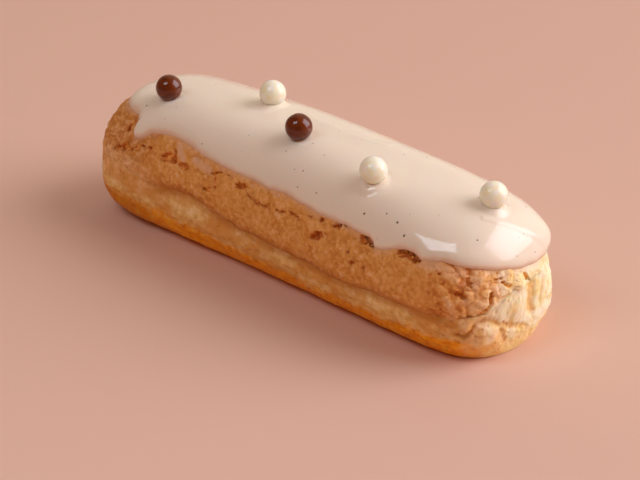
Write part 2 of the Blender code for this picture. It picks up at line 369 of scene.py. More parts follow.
CRACKS = (
    (((25.0, 20.8), (27.2, 22.0), (30.3, 22.9), (32.9, 24.1), (34.9, 24.5), (37.0, 24.8)), 0.75, 1.4),
    (((26.1, 18.9), (27.6, 18.2), (29.1, 17.4), (30.6, 16.9)), 0.55, 0.45),
    (((58.9, 24.4), (60.6, 25.6), (63.2, 26.2), (65.5, 25.9)), 0.55, 0.8),
    (((59.8, 25.0), (60.3, 23.5), (60.3, 21.6)), 0.5, 0.7),
    (((70.2, 23.8), (72.4, 22.9), (74.4, 22.5), (76.6, 22.2), (78.9, 22.5)), 0.5, 0.7),
    (((78.3, 23.4), (79.0, 22.4), (79.5, 21.6)), 0.4, 0.5),
    (((91.7, 17.1), (94.3, 16.9)), 0.5, 0.4),
    (((26.2, 29.4), (26.7, 28.1), (26.5, 26.7)), 0.95, 1.7),
    (((145.3, 23.4), (147.7, 21.4), (149.9, 19.2)), 0.7, 0.9),
    (((145.2, 18.5), (145.0, 16.0), (143.6, 14.8), (142.2, 13.6), (140.4, 13.0), (137.5, 12.8)), 0.8, 0.9),
    (((155.1, 20.3), (156.0, 18.0), (156.7, 15.5), (156.4, 13.0)), 0.9, 0.8),
    (((160.2, 14.7), (159.4, 13.0), (159.2, 11.0)), 0.9, 0.7),
    (((198.2, 23.4), (200.6, 22.7), (203.8, 22.9)), 0.6, 0.8),
    (((214.0, 22.0), (217.2, 21.1), (220.4, 21.3), (221.6, 20.2)), 0.55, 0.8),
    (((246.3, 22.4), (248.8, 23.6), (252.4, 23.2), (254.0, 24.1)), 0.6, 0.9),
    (((266.5, 20.7), (269.9, 21.6), (272.1, 20.9)), 0.55, 0.8),
)
LUMPS = (  # (place, reach, rise) in millimetres
    ((138.1, 23.9), 1.6, 0.5),
    ((137.4, 22.0), 1.5, 0.5),
    ((143.0, 23.2), 2.4, 0.5),
    ((150.5, 22.6), 1.8, 0.7),
    ((137.8, 17.4), 1.6, 0.4),
    ((144.0, 18.5), 1.8, 0.4),
    ((153.2, 17.6), 2.4, 0.6),
    ((32.0, 20.0), 4.0, 0.3),
)


def torn(points, wounds, core):
    """How deep each point lies in the pits or cracks, in metres, with their edges made ragged by noise."""
    ragged = points + 0.4 * MM * np.stack([bumps(points, 1.4 * MM, seed) for seed in (11, 12, 13)], axis=-1)
    ragged += 0.4 * MM * np.stack([bumps(points, 0.7 * MM, seed) for seed in (14, 15, 16)], axis=-1)
    deep = np.zeros(points.shape[:-1])
    for places, reach, depth in wounds:
        path = [spot(*place) for place in places]
        deep = np.maximum(deep, depth * MM * closeness(ragged, path, reach * MM, core))
    return deep


# %% The crust's rings
COLUMNS = 1240
CRUST_ROWS = 60
CROWN_ROWS = 5
CROWN_STRIP = 0.12
CRUST_PROUD = 0.25 * MM
CRUST_UNDER_RIM = 0.53 * MM
GLAZE_THICKNESS = 1.6 * MM
RIM_NOSE = 0.8 * MM

travel = np.arange(COLUMNS) / COLUMNS * GIRTH
ux, uy = plan_at(travel)
turn = travel / GIRTH
waver = np.stack([travel, np.zeros_like(travel), np.zeros_like(travel)], axis=-1)


def window(start, end, soft, travel):
    """1 between two distances round the bun, in millimetres, fading to 0 over soft millimetres."""
    return smooth_step(start - soft, start, travel / MM) * (1 - smooth_step(end, end + soft, travel / MM))


# Where the glaze's edge dips and lifts: millimetres round the bun, and millimetres up or down.
RIM_DETAIL = np.array([
    (0, 0), (17, 0.5), (25.3, 1.2), (27.4, 0.4), (28.3, -0.4), (28.9, -2.7), (29.5, -3.1), (30.8, -3.0),
    (32.1, -2.4), (33.3, -1.3), (34.6, -0.4), (37, 0), (40, 0.5), (43.5, 0.8), (49, 0.6), (54, 0), (72, 0.1), (77, -0.5), (82.5, 0.2), (88, -0.3),
    (95, -0.5), (101, 0), (103, 0.3), (107, 0.2), (111, 0.5), (112.3, 0), (113.1, -1.3), (114.8, -1.2),
    (117, -0.5), (119, 0.2), (122, 0.7), (125, 0.5), (127.4, -0.7), (129.5, -0.5), (133.5, 0.3),
    (142.5, 0.2), (148, 0), (155, -0.3), (159.5, 0), (164, 0.5), (170, 0.8), (178, 0), (188, 0.3),
    (196, -0.6), (203, 0.2), (209, -0.9), (215, -0.3), (222, 0.4), (231, -0.4), (238, 0.5), (246, 0.9),
    (249, -0.8), (256, -0.5), (262, 0.3), (274, -0.5), (285, 0.2), (296, -0.4), (310, 0),
])


def rim_line(travel):
    """Height of the glaze's edge: the solid's smooth ring, the dips and lifts, and a little waver."""
    line = np.stack([travel, np.zeros_like(travel), np.zeros_like(travel)], axis=-1)
    detail = np.interp(travel / MM, *RIM_DETAIL.T) * MM
    return smooth_ring(RIM_HEIGHTS, travel / GIRTH) + detail + 0.10 * MM * bumps(line, 2.0 * MM, 32)


rim_height = rim_line(travel)
crust_height = smooth_ring(CRUST_HEIGHTS, turn)
right_end = window(134, 177, 7, travel)
crust_height += (0.35 + 1.1 * right_end) * MM * bumps(waver, 7 * MM, 33)
crust_height += (0.07 + 0.8 * right_end) * MM * bumps(waver, 2.3 * MM, 34)
lip = window(43, 288, 9, travel) * (1 - 0.85 * window(139, 176, 8, travel))
left_end = 1 - window(44, 280, 14, travel)


def crown_levels(start, rows):
    """Levels from start up to the strip that closes the crown, evenly spaced across the width."""
    first = np.cos(start) ** (2 / SHOULDER)
    shares = np.linspace(0, 1, rows + 1)[1:, None]
    return np.arccos((first + (CROWN_STRIP - first) * shares) ** (SHOULDER / 2))


def crust_rings():
    """Rings of the crust's smooth skin: the tucked-in lip, the side, and the crown under the glaze."""
    edge = level_at(ux, uy, crust_height)
    lip_inside = level_at(ux, uy, crust_height + 1.0 * MM)
    lip_below = level_at(ux, uy, crust_height - 0.05 * MM)
    rim = level_at(ux, uy, rim_height)
    under = level_at(ux, uy, rim_height + RIM_NOSE)
    rings = [uneven_skin(ux, uy, lip_inside, -3.0 * MM), uneven_skin(ux, uy, edge, -1.2 * MM)]
    rings.append(uneven_skin(ux, uy, lip_below, -0.85 * MM))
    for share in np.linspace(0, 1, CRUST_ROWS):
        rounding = -0.85 * MM * (1 - min(share / 0.20, 1)) ** 2
        proud = CRUST_PROUD * lip - 0.1 * MM * (1 - lip)
        out = proud + rounding * (0.15 + 0.85 * lip) - (CRUST_PROUD + CRUST_UNDER_RIM) * share**2
        rings.append(uneven_skin(ux, uy, edge + (rim - edge) * share, out))
    for level in (under, *crown_levels(under, CROWN_ROWS)):
        rings.append(uneven_skin(ux, uy, level, -GLAZE_THICKNESS - 0.1 * MM))
    return np.stack(rings)


def sand(points):
    """Sandy unevenness in millimetres: three sizes of bumps, and scattered crumbs and grains on them."""
    bent = points + 0.6 * MM * np.stack([bumps(points, 2.6 * MM, seed) for seed in (55, 56, 57)], axis=-1)
    total = 0.10 * bumps(bent, 2.0 * MM, 43) + 0.12 * bumps(bent, 1.1 * MM, 44) + 0.10 * bumps(bent, 0.6 * MM, 59)
    for size, rise, rare, seed in ((1.5, 0.22, 0.55, 45), (0.9, 0.18, 0.5, 60)):
        near, _, number = cells(bent, size * MM, seed)
        total += rise * np.maximum(0.5 - near, 0) * (number > rare)
    return total - 0.03


def paleness(points):
    """1 where the right end burst open and stayed pale cream, 0 on the browned rest, patchy between."""
    start = 146 + 0.2 * (points[..., 2] / MM - 14) - 5 * bumps(points, 6 * MM, 53) - 4 * bumps(points, 2 * MM, 77)
    return smooth_step(-11, 9, travel / MM - start) * (1 - smooth_step(182, 205, travel / MM))


def crust_relief(points):
    """The crust's relief in metres, and the masks that its material reads."""
    swell = 0.24 * bumps(points, 8 * MM, 41) + 0.16 * bumps(points, 3.6 * MM, 42)
    rough_part = 0.65 + 0.7 * smooth_step(-0.4, 0.5, bumps(points, 9 * MM, 58))
    fine = sand(points) * rough_part * (1 + 0.9 * left_end)
    burst = popcorn(points) * right_end * (1 - 0.5 * paleness(points))
    over_lip = smooth_step(0.0, 2.2, (points[..., 2] - crust_height) / MM)
    under_rim = smooth_step(0.0, 1.8, (rim_height - points[..., 2]) / MM)
    relief = (swell + fine * (0.35 + 0.65 * over_lip) * (0.3 + 0.7 * under_rim) + burst * (0.4 + 0.6 * under_rim)) * MM
    for place, reach, rise in LUMPS:
        away = np.linalg.norm(points - spot(*place), axis=-1) / (reach * MM)
        relief += rise * MM * (1 - smooth_step(0.2, 1.0, away))
    deep = np.maximum(torn(points, PITS, 0.55), torn(points, CRACKS, 0.35))
    near, _, number = cells(points, 3.4 * MM, 51)
    stray = 0.6 * MM * (1 - smooth_step(0.08, 0.22, near)) * (number > 0.72)
    deep = np.maximum(deep, stray)
    cavity = np.clip(deep / (1.1 * MM) - 1.2 * burst, -0.8, 1)
    deep = deep * (0.8 + 0.6 * bumps(points, 1.3 * MM, 80))
    # The last value is the sandy relief's height, which the material uses as painted shade: low grains darker, high
    # grains lighter.
    return relief - deep, cavity, np.clip(0.5 + fine / 0.34, 0, 1)


smooth = crust_rings()
shown = np.zeros(len(smooth))
shown[2:3 + CRUST_ROWS] = 1
shown[0:2] = 0
relief, cavity, height = crust_relief(smooth)
relief = relief * shown[:, None]
crust_points = smooth + outward(smooth) * relief[..., None]
below_rim = (rim_height - smooth[..., 2]) / MM
film = (1 - smooth_step(0.0, 1.9, below_rim + 0.9 * bumps(smooth, 3 * MM, 52))) * 0.65
SMEARS = (  # (places, reach, strength): millimetres, millimetres, share
    (((45.6, 28.0), (47.0, 26.4), (48.4, 25.4)), 1.5, 1.0),
    (((52.4, 26.2), (55.0, 25.6), (57.6, 25.3)), 1.6, 0.9),
    (((104.0, 25.6), (110.0, 24.9)), 1.5, 0.5),
    (((127.0, 24.6), (132.0, 24.8)), 1.8, 0.6),
    (((134.8, 24.6), (138.0, 23.6), (140.0, 22.0)), 3.0, 0.6),
)
for places, reach, strength in SMEARS:
    film = np.maximum(film, strength * closeness(smooth, [spot(*place) for place in places], reach * MM))
film *= 1 - smooth_step(0.15, 0.5, cavity)
over_lip = (smooth[..., 2] - crust_height) / MM
# Painted shade: a darker brown band along the crust's lower lip, where the rounded lip turns down.
lip_shade = (1 - smooth_step(0.0, 2.4, over_lip + 0.5 * bumps(smooth, 2 * MM, 73))) * lip
faded = 1 - smooth_step(0.5, 6.0, over_lip + 1.2 * bumps(smooth, 3 * MM, 78))
# The mask "brown" carries that painted lip shade and a darker brown towards the left tip; "height" carries painted
# shade for the grains.
crust = solid_from_rings("crust", crust_points, {
    "cavity": cavity, "height": height, "film": film, "pale": np.maximum(paleness(smooth), 0.2 * left_end * faded),
    "brown": np.maximum(0.3 * left_end * (1 - faded), 0.6 * lip_shade)})

# %% [markdown]
# ## The choux below the crust
#
# Under the craquelin's edge the choux shows its own skin: fine sideways wrinkles, small pores, a few folds
# at the right end where it pushed out, and a golden base that fried a little in its own butter on the tray.
# Its colour also carries painted orange bounce light on that base, painted shade under the crust's lip, and
# painted shade in its folds and pores.

# %% The choux
CHOUX_ROWS = 68
CHOUX_BACK = 0.25 * MM
FOLDS = (
    (((137.3, 9.0), (138.4, 8.2), (139.8, 9.4), (140.8, 11.0)), 1.2, 1.0),
    (((146.3, 10.7), (150.6, 8.8), (155.8, 6.4)), 1.2, 0.5),
    (((141.4, 11.6), (143.7, 12.3), (146.5, 11.2), (148.2, 8.0), (149.0, 5.0)), 1.1, 0.5),
    (((156.7, 17.0), (156.2, 13.5), (157.0, 10.0)), 2.0, 0.7),
    (((161.2, 15.7), (160.4, 13.0), (160.0, 11.5)), 1.5, 0.45),
    (((40.0, 14.6), (45.5, 15.6), (51.0, 16.6)), 0.6, 0.25),
)
BULGES = (
    ((139.3, 10.6), 2.0, 0.7),
    ((144.3, 7.3), 4.0, 0.9),
    ((165.0, 13.0), 5.0, 0.3),
    ((152.5, 13.0), 4.0, 0.4),
)


def choux_rings():
    """Rings of the choux's smooth skin: flat base, belly, the tuck under the crust's lip, and a hidden top."""
    base = -math.asin((1 / (1 + BASE_FLATTENING)) ** (BELLY / 2))
    edge = level_at(ux, uy, crust_height)
    inside = level_at(ux, uy, crust_height + 3.0 * MM)
    rings = [skin(ux, uy, base * np.ones_like(edge), -1.2 * MM)]
    for share in np.linspace(0, 1, CHOUX_ROWS):
        tuck = -0.30 * MM * smooth_step(0.72, 1.0, share) * (1 - 0.7 * right_end) * lip
        back = -CHOUX_BACK * (0.4 + 0.6 * lip)
        rings.append(uneven_skin(ux, uy, base + (edge - base) * share, back + tuck))
    for share in np.linspace(0.15, 1, 6):
        rings.append(uneven_skin(ux, uy, edge + (inside - edge) * share, (-0.5 - 2.0 * share) * MM))
    return np.stack(rings)


def choux_relief(points):
    """The choux's relief in metres, and how far its folds and pores hollow it."""
    flat = points / np.array([4.0, 4.0, 1.0])
    wrinkles = 0.13 * bumps(flat, 1.1 * MM, 61) + 0.08 * bumps(flat, 0.6 * MM, 62)
    swell = 0.34 * bumps(points, 7 * MM, 63) + 0.20 * bumps(points, 2.4 * MM, 64) + 0.10 * bumps(points, 1.2 * MM, 66)
    near, _, number = cells(points, 1.3 * MM, 65)
    pores = 0.34 * (1 - smooth_step(0.08, 0.32, near)) * (number > 0.5)
    soft = 1 - 0.7 * paleness(points)
    burst = popcorn(points) * right_end * soft * (0.4 + 0.4 * smooth_step(3, 10, points[..., 2] / MM))
    relief = (wrinkles * soft + swell - pores + burst + 0.5 * sand(points) * right_end) * MM
    for place, reach, rise in BULGES:
        away = np.linalg.norm(points - spot(*place), axis=-1) / (reach * MM)
        relief += rise * MM * (1 - smooth_step(0.2, 1.0, away))
    deep = torn(points, FOLDS, 0.0)
    return relief - deep, deep / (1.1 * MM) + 1.3 * pores - 1.1 * burst


smooth = choux_rings()
relief, cavity = choux_relief(smooth)
lifted = smooth_step(0.3, 2.5, smooth[..., 2] / MM)
relief = relief * lifted
relief[CHOUX_ROWS + 1:] *= np.linspace(1, 0, len(smooth) - CHOUX_ROWS - 1)[:, None]
choux_points = smooth + outward(smooth) * relief[..., None]
choux_points[..., 2] = np.maximum(choux_points[..., 2], 0)
ripple = bumps(smooth / np.array([2.0, 2.0, 1.0]), 4 * MM, 71) + 0.6 * bumps(smooth, 1.6 * MM, 72)
golden_line = np.interp(travel / MM, (20, 50, 62, 80, 130, 150, 200, 290), (1.4, 1.2, -0.6, -1.7, 0.2, -1.5, 0, 0.6))
# Where the golden base is: its fried colour, and the painted orange bounce light that goes with it.
golden_bake_and_bounce = 1 - smooth_step(5.6, 8.4, smooth[..., 2] / MM + 1.5 * ripple - golden_line)
below_lip = (smooth[..., 2] - crust_height) / MM + 0.5 * bumps(smooth, 2.5 * MM, 74)
# Painted shade: darker under the crust's lip, and over the golden base at the left end.
lip_and_left_end_shade = np.maximum(0.55 * lip * smooth_step(-2.6, -0.2, below_lip), 0.5 * left_end * golden_bake_and_bounce)
tan_part = np.maximum(left_end, 0.7 * (1 - lip)) * smooth_step(-6.5, -0.5, below_lip + bumps(smooth, 4 * MM, 79))
patches = smooth_step(-0.35, 0.45, bumps(smooth / np.array([1.6, 1.6, 1.0]), 5 * MM, 75) + 0.4 * bumps(smooth, 1.5 * MM, 76))
choux = solid_from_rings("choux_bun", choux_points, {
    "cavity": cavity, "golden_bake_and_bounce": golden_bake_and_bounce, "shade": lip_and_left_end_shade, "pale": paleness(smooth), "patch": patches,
    "tan": tan_part})

# %% [markdown]
# ## The glaze
#
# White chocolate and vanilla glaze sets about a millimetre and a half thick, with a smooth top that still
# follows the bun, a rounded edge, and a little collar where it crept up each pearl. It is another cap of
# rings, finer than the eye needs so that its reflections stay clean.

# %% The glaze's rings
GLAZE_COLUMNS = 900
GLAZE_ROWS = 56
NOSE = (  # the edge's cross-section: height over the rim, and how far out, in millimetres
    (0.90, -3.0), (0.15, -1.60), (-0.10, -1.05), (-0.17, -0.86), (-0.12, -0.70), (0.06, -0.54), (0.32, -0.39),
    (0.66, -0.25), (1.06, -0.12), (1.55, -0.04),
)
PEARLS = [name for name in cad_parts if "pearl" in name]
CREASES = (  # (places, reach, rise) in millimetres
    (((-8.0, 3.0), (-1.5, 3.4), (4.0, 2.9), (8.4, 3.4), (12.6, 4.0), (17.0, 5.5)), 1.6, 0.13),
    (((54.5, -3.6), (56.8, -1.9), (58.7, 0.4), (60.3, 2.8), (61.4, 6.4), (62.2, 9.3)), 1.1, 0.16),
)
GLAZE_SWELLS = (((-31.9, -9.5), 10.0, 0.45), ((-6.0, -12.0), 8.0, -0.35), ((59.3, -10.0), 6.0, 0.2))


def pearl_place(name):
    """A pearl's centre and radius, from the solid model."""
    low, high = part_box(name)
    return np.array((low + high) / 2), (high.x - low.x) / 2


def glaze_rings(columns, rows):
    """Rings of the glaze's smooth skin, from inside its edge round the nose and up to the crown."""
    travel = np.arange(columns) / columns * GIRTH
    ux, uy = plan_at(travel)
    rim = rim_line(travel)
    rings = []
    for over, out in NOSE:
        rings.append(uneven_skin(ux, uy, level_at(ux, uy, rim + over * MM), out * MM))
    start = level_at(ux, uy, rim + (NOSE[-1][0] + 0.3) * MM)
    rings.append(uneven_skin(ux, uy, start, 0.0))
    rings += [uneven_skin(ux, uy, level, 0.0) for level in crown_levels(start, rows)]
    return np.stack(rings)


def glaze_relief(points):
    """Soft swells, two faint creases, and a collar where the glaze crept up each pearl, in metres."""
    relief = (0.10 * bumps(points, 16 * MM, 81) + 0.035 * bumps(points, 6 * MM, 82)) * MM
    flat = points * np.array([1, 1, 0])
    for places, reach, rise in CREASES:
        path = [np.array([x, y, 0]) * MM for x, y in places]
        relief += rise * MM * closeness(flat, path, reach * MM)
    for (x, y), reach, rise in GLAZE_SWELLS:
        away = np.linalg.norm(flat - np.array([x, y, 0]) * MM, axis=-1)
        relief += rise * MM * np.exp(-(away / (reach * MM)) ** 2)
    for name in PEARLS:
        centre, radius = pearl_place(name)
        away = np.linalg.norm((points - centre)[..., :2], axis=-1)
        climb = 0.85 if name.startswith("white") else 0.25
        relief += climb * MM * (1 - smooth_step(0.62, 1.3, away / radius))
    return relief


smooth = glaze_rings(GLAZE_COLUMNS, GLAZE_ROWS)
eased = np.clip((np.arange(len(smooth)) - 2) / len(NOSE), 0, 1)[:, None]
glaze_points = smooth + outward(smooth) * (glaze_relief(smooth) * eased)[..., None]
over_rim = (smooth[..., 2] - rim_line(np.arange(GLAZE_COLUMNS) / GLAZE_COLUMNS * GIRTH)) / MM
thin = 1 - smooth_step(-0.1, 1.3, over_rim + 0.35 * bumps(smooth, 2.5 * MM, 83))
glaze = solid_from_rings("vanilla_glaze", glaze_points, {"thin": thin})

# %% [markdown]
# ## The pearls
#
# Crisp chocolate pearls are puffed grains tumbled in chocolate and then in a shine of shellac. They are
# round to within a tenth of a millimetre, so each is a sphere with very low, wide bumps.


# %% Pearls
def make_pearl(name):
    """A sphere of latitudes and longitudes with low bumps, closed by a fan of triangles at each pole."""
    centre, radius = pearl_place(name)
    segments, latitudes = 96, 48
    polar = np.linspace(0, math.pi, latitudes + 1)[1:-1, None]
    around = np.linspace(0, 2 * math.pi, segments, endpoint=False)[None]
    grid = np.stack([np.sin(polar) * np.cos(around), np.sin(polar) * np.sin(around),
                     np.cos(polar) * np.ones_like(around)], axis=-1).reshape(-1, 3)
    points = np.concatenate([grid, [[0, 0, 1], [0, 0, -1]]]) * radius
    offset = np.array([len(name) * 0.01, 0, 0])
    points *= 1 + 0.010 * bumps(points + offset, 3.2 * MM, 91)[:, None]
    index = np.arange(len(grid)).reshape(latitudes - 1, segments)
    after = np.roll(index, -1, axis=1)
    walls = np.stack([index[:-1], index[1:], after[1:], after[:-1]], axis=-1).reshape(-1, 4)
    top = np.stack([np.full(segments, len(grid)), index[0], after[0]], axis=-1)
    bottom = np.stack([np.full(segments, len(grid) + 1), after[-1], index[-1]], axis=-1)
    corners = np.concatenate([walls.ravel(), top.ravel(), bottom.ravel()])
    sizes = np.concatenate([np.full(len(walls), 4), np.full(2 * segments, 3)])
    return mesh_piece("glossy_" + name, points + centre, corners, sizes)


pearls = {name: make_pearl(name) for name in PEARLS}

# %% [markdown]
# ## Vanilla specks and beads of glaze
#
# The glaze holds ground vanilla: black-brown specks of a quarter to half a millimetre, most of them on the
# lower slopes where the glaze ran. Each is a flat little pebble of twenty faces, half sunk in the glaze.
# Tiny beads of glaze were left on the crust under the rim. Each kind is one joined mesh.

# %% Little pebbles
GOLDEN = (1 + math.sqrt(5)) / 2
PEBBLE_POINTS = np.array([(-1, GOLDEN, 0), (1, GOLDEN, 0), (-1, -GOLDEN, 0), (1, -GOLDEN, 0),
                          (0, -1, GOLDEN), (0, 1, GOLDEN), (0, -1, -GOLDEN), (0, 1, -GOLDEN),
                          (GOLDEN, 0, -1), (GOLDEN, 0, 1), (-GOLDEN, 0, -1), (-GOLDEN, 0, 1)])
PEBBLE_POINTS /= np.linalg.norm(PEBBLE_POINTS, axis=1, keepdims=True)
PEBBLE_FACES = np.array([(0, 11, 5), (0, 5, 1), (0, 1, 7), (0, 7, 10), (0, 10, 11), (1, 5, 9), (5, 11, 4),
                         (11, 10, 2), (10, 7, 6), (7, 1, 8), (3, 9, 4), (3, 4, 2), (3, 2, 6), (3, 6, 8),
                         (3, 8, 9), (4, 9, 5), (2, 4, 11), (6, 2, 10), (8, 6, 7), (9, 8, 1)])


def pebbles(name, centres, normals, sizes, flatness, random):
    """One joined mesh of pebbles: each is turned to its normal, flattened along it and made uneven."""
    count = len(centres)
    helper = random.normal(size=(count, 3))
    side = np.cross(normals, helper)
    side /= np.linalg.norm(side, axis=1, keepdims=True)
    other = np.cross(normals, side)
    stretch = random.uniform(0.6, 1.25, (count, 2))
    uneven = 1 + random.uniform(-0.22, 0.22, (count, len(PEBBLE_POINTS)))
    local = PEBBLE_POINTS[None] * uneven[..., None] * sizes[:, None, None]
    points = centres[:, None] + (local[..., 0:1] * (side * stretch[:, 0:1])[:, None]
                                 + local[..., 1:2] * (other * stretch[:, 1:2])[:, None]
                                 + local[..., 2:3] * (normals * flatness)[:, None])
    faces = (PEBBLE_FACES[None] + len(PEBBLE_POINTS) * np.arange(count)[:, None, None]).reshape(-1, 3)
    return mesh_piece(name, points.reshape(-1, 3), faces.ravel(), np.full(len(faces), 3))


glaze_normals = outward(glaze_points)


def nearest_on(grid, normals, places, axes):
    """The grid's points and normals nearest to given places, compared along some axes only."""
    flat = grid.reshape(-1, 3)
    rows = [int(np.argmin(np.sum((flat[:, axes] - place[axes]) ** 2, axis=1))) for place in places]
    return flat[rows], normals.reshape(-1, 3)[rows]


# %% The specks
SPECKS = (  # (x, y, size) in millimetres, on the glaze
    (-48.4, -12.3, 0.30), (-39.1, -10.4, 0.16), (-24.6, -16.1, 0.26), (-13.3, -11.0, 0.18), (-12.4, -14.5, 0.13),
    (-0.8, -11.1, 0.18), (3.6, -6.4, 0.18), (9.3, -8.4, 0.22), (4.6, -14.1, 0.20), (7.1, -13.7, 0.22),
    (7.9, -16.2, 0.32), (13.9, -16.1, 0.20), (26.5, -12.2, 0.14), (29.0, -16.0, 0.30), (34.4, -14.7, 0.24),
    (38.2, -15.2, 0.32), (41.5, -16.5, 0.30), (57.1, -9.3, 0.22), (63.0, -1.9, 0.24), (63.3, 4.4, 0.24),
)
random = np.random.default_rng(21)
top_rows = glaze_points[len(NOSE) + 2:].reshape(-1, 3)
picked = random.choice(len(top_rows), 70, replace=False)
strewn = top_rows[picked]
strewn = strewn[(strewn[:, 1] > 0) | (strewn[:, 0] < -52 * MM)][:34]
places = np.concatenate([np.array([(x, y, 0) for x, y, _ in SPECKS]) * MM, strewn])
sizes = np.concatenate([[size * MM for _, _, size in SPECKS], random.uniform(0.10, 0.26, len(strewn)) * MM])
upper = glaze_points[len(NOSE):]
seats, lean = nearest_on(upper, glaze_normals[len(NOSE):], places, [0, 1])
specks = pebbles("vanilla_specks", seats - lean * 0.02 * MM, lean, sizes, 0.35, random)

# %% The beads
BEADS = ((72.4, 26.0, 0.26), (81.0, 26.2, 0.28), (90.6, 26.1, 0.26), (57.0, 26.1, 0.22), (43.0, 27.3, 0.20),
         (76.5, 26.1, 0.16), (99.0, 25.0, 0.18), (104.0, 25.3, 0.2), (117.2, 24.9, 0.2), (129.0, 25.3, 0.18))
crust_normals = outward(crust_points)
places = np.array([spot(round_, high) for round_, high, _ in BEADS])
seats, lean = nearest_on(crust_points, crust_normals, places, [0, 1, 2])
beads = pebbles("glaze_beads", seats, lean, np.array([size for _, _, size in BEADS]) * MM, 0.8, random)

# %% [markdown]
# ## Which body each piece rides on
#
# The eclair is one rigid thing, so every piece rides on its only body. The crust and the bun take the place
# of the solid choux, which is hidden, and the glaze and each pearl hide the solid that they cover; the
# specks and beads hide none.

# %% Attach the pieces and hide the solids they cover
for piece, solid, slot in ((crust, "choux", "choux"), (choux, "choux", "choux"), (glaze, "glaze", "glaze"),
                           *((pearls[name], name, name.split("_")[0] + "_chocolate") for name in PEARLS)):
    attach(piece, "root")
    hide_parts(solid)
for piece, slot in ((specks, "dark_chocolate"), (beads, "glaze")):
    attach(piece, "root")


# %% [markdown]
# ## Materials
#
# Each finish is named for what it is. Patterns are sized from the real thing: a craquelin grain is about
# half a millimetre, a pore in the choux a quarter. `colour` turns an sRGB hex value to linear light, and
# `node` adds one shader node with its settings, its values and its links.

# %% Two helpers
def colour(code):
    """Linear red, green, blue and full alpha of an sRGB hex value such as E8C9A0."""
    parts = [int(code[start:start + 2], 16) / 255 for start in (0, 2, 4)]
    return (*[part / 12.92 if part <= 0.04045 else ((part + 0.055) / 1.055) ** 2.4 for part in parts], 1)


def node(material, kind, inputs, **settings):
    """Add a node. Inputs are values or other nodes' outputs, by socket name or number."""
    made = material.node_tree.nodes.new(kind)
    stops = settings.pop("stops", None)
    for name, value in settings.items():
        setattr(made, name, value)
    for socket, value in inputs.items():
        if isinstance(value, bpy.types.NodeSocket):
            material.node_tree.links.new(value, made.inputs[socket])
        else:
            made.inputs[socket].default_value = value
    if stops:
        ramp = made.color_ramp.elements
        while len(ramp) < len(stops):
            ramp.new(0.5)
        for element, (place, shade) in zip(ramp, stops):
            element.position = place
            element.color = shade
    return made.outputs


def fresh(name):
    """An empty material and its object coordinates, in metres."""
    material = bpy.data.materials.new(name)
    material.use_nodes = True
    material.node_tree.nodes.clear()
    place = node(material, "ShaderNodeTexCoord", {})["Object"]
    return material, place


def finish_with(material, shader, pieces):
    """Send a shader to the material's output and give the material to each piece."""
    node(material, "ShaderNodeOutputMaterial", {"Surface": shader})
    for piece in pieces:
        piece.data.materials.clear()
        piece.data.materials.append(material)


def cream(material, place):
    """The pale inside where the crust burst: cream, with golden patches a few millimetres across."""
    patches = node(material, "ShaderNodeTexNoise", {"Vector": place, "Scale": 1 / (3.2 * MM), "Detail": 3.0})["Fac"]
    return node(material, "ShaderNodeValToRGB", {"Fac": patches}, stops=[
        (0.28, colour("F6CC74")), (0.41, colour("FFEAB2")), (0.55, colour("FFF1CE"))])["Color"]


# %% [markdown]
# ### Baked craquelin
#
# Butter, brown sugar and flour, baked dry: matt and sandy, with grains a little lighter and darker than
# the tan between them, partly at random and partly as painted shade that darkens the low grains and
# lightens the high ones. The pits and cracks are a deeper orange brown, partly sugar that caramelised
# there and partly painted shade in the hollows, and the tops of the burst lumps carry a painted
# highlight. A band of painted shade runs along the crust's lower lip, and the left end is a darker
# brown. Just under the glaze it wears a thin wet film where the glaze ran and was wiped, and low on the
# right end the choux pushed out pale and cream.

# %% Baked craquelin
material, place = fresh("baked_craquelin")
cavity = node(material, "ShaderNodeAttribute", {}, attribute_name="cavity")["Fac"]
film = node(material, "ShaderNodeAttribute", {}, attribute_name="film")["Fac"]
pale = node(material, "ShaderNodeAttribute", {}, attribute_name="pale")["Fac"]
brown = node(material, "ShaderNodeAttribute", {}, attribute_name="brown")["Fac"]
mottle = node(material, "ShaderNodeTexNoise", {"Vector": place, "Scale": 1 / (5 * MM), "Detail": 3.0})["Fac"]
height = node(material, "ShaderNodeAttribute", {}, attribute_name="height")["Fac"]
grain = node(material, "ShaderNodeTexNoise", {"Vector": place, "Scale": 1 / (0.8 * MM), "Detail": 3.0,
                                              "Roughness": 0.6, "Distortion": 0.6})["Fac"]
tan = node(material, "ShaderNodeValToRGB", {"Fac": mottle}, stops=[
    (0.30, colour("D88C36")), (0.52, colour("E6A34D")), (0.72, colour("EFB36C"))])["Color"]
# Painted shade and light: the random grain is mixed with the relief's height, so low grains come out darker and high
# grains lighter.
grain = node(material, "ShaderNodeMix", {0: 0.6, 2: grain, 3: height}, data_type="FLOAT")[0]
grains = node(material, "ShaderNodeValToRGB", {"Fac": grain}, stops=[
    (0.25, colour("BB6C1E")), (0.5, colour("E6A34B")), (0.75, colour("F9CC97"))])["Color"]
tan = node(material, "ShaderNodeMix", {0: 0.55, 6: tan, 7: grains}, data_type="RGBA")[2]
# Painted shade along the crust's lower lip, and a darker brown towards the left tip.
tan = node(material, "ShaderNodeMix", {0: brown, 6: tan, 7: colour("B46218")}, data_type="RGBA")[2]
tan = node(material, "ShaderNodeMix", {0: pale, 6: tan, 7: cream(material, place)}, data_type="RGBA")[2]
